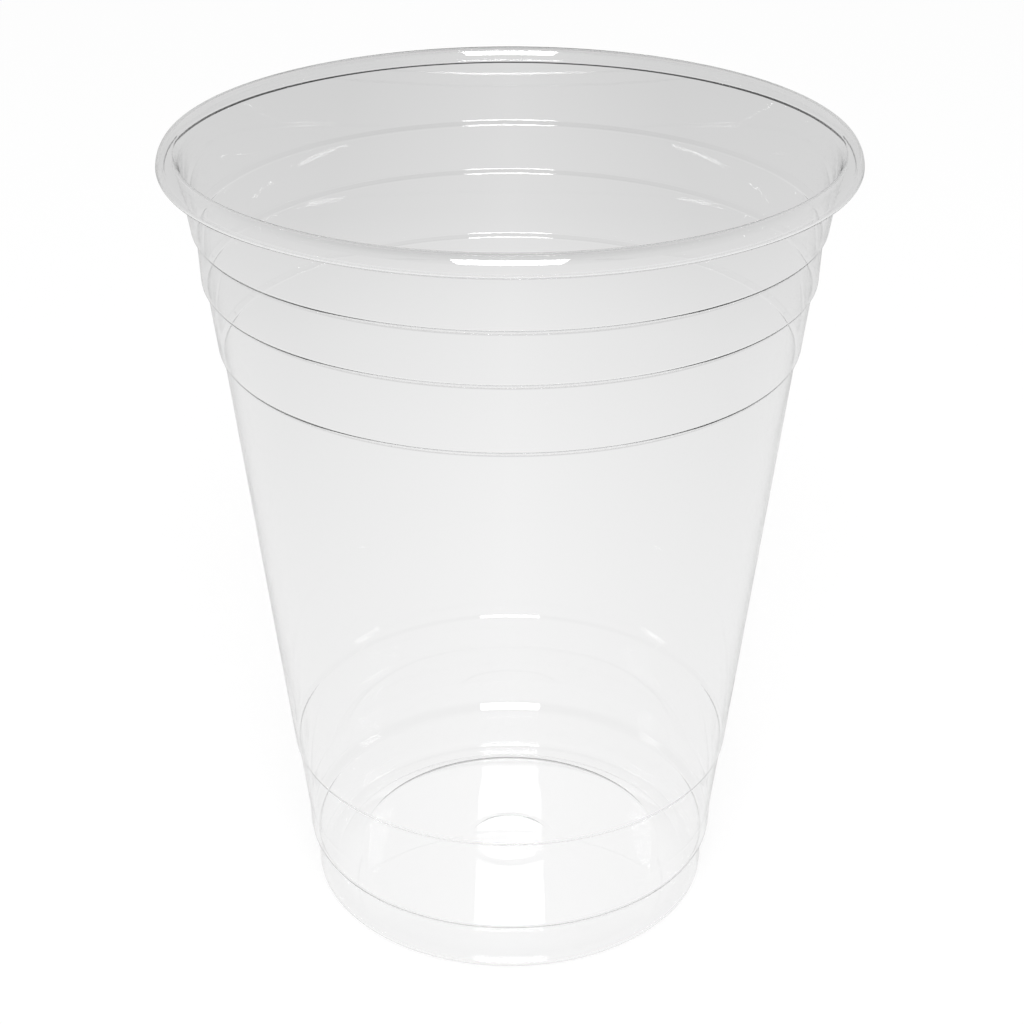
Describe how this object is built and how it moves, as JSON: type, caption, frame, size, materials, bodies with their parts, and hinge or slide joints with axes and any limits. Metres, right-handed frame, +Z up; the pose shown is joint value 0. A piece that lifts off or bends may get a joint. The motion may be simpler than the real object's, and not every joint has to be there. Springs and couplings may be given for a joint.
{
  "type": "disposable drinking cup",
  "caption": "Clear tapered disposable cold cup in one skin, with a rolled lip, stepped rings near the top, a low stacking ring, and a floor raised above a narrow standing ring.",
  "frame": {"origin": "middle of the flat standing ring, at the bottom of the cup", "axes": "+Z up along the cup's axis, out of its mouth; the cup is the same all round, so +X and +Y are any two directions across it"},
  "size_m": [0.098, 0.098, 0.1206],
  "materials": {
    "clear_plastic": "clear, glossy, uncoloured thermoformed sheet"
  },
  "bodies": {
    "root": {"cup": "clear_plastic"}
  },
  "joints": []
}
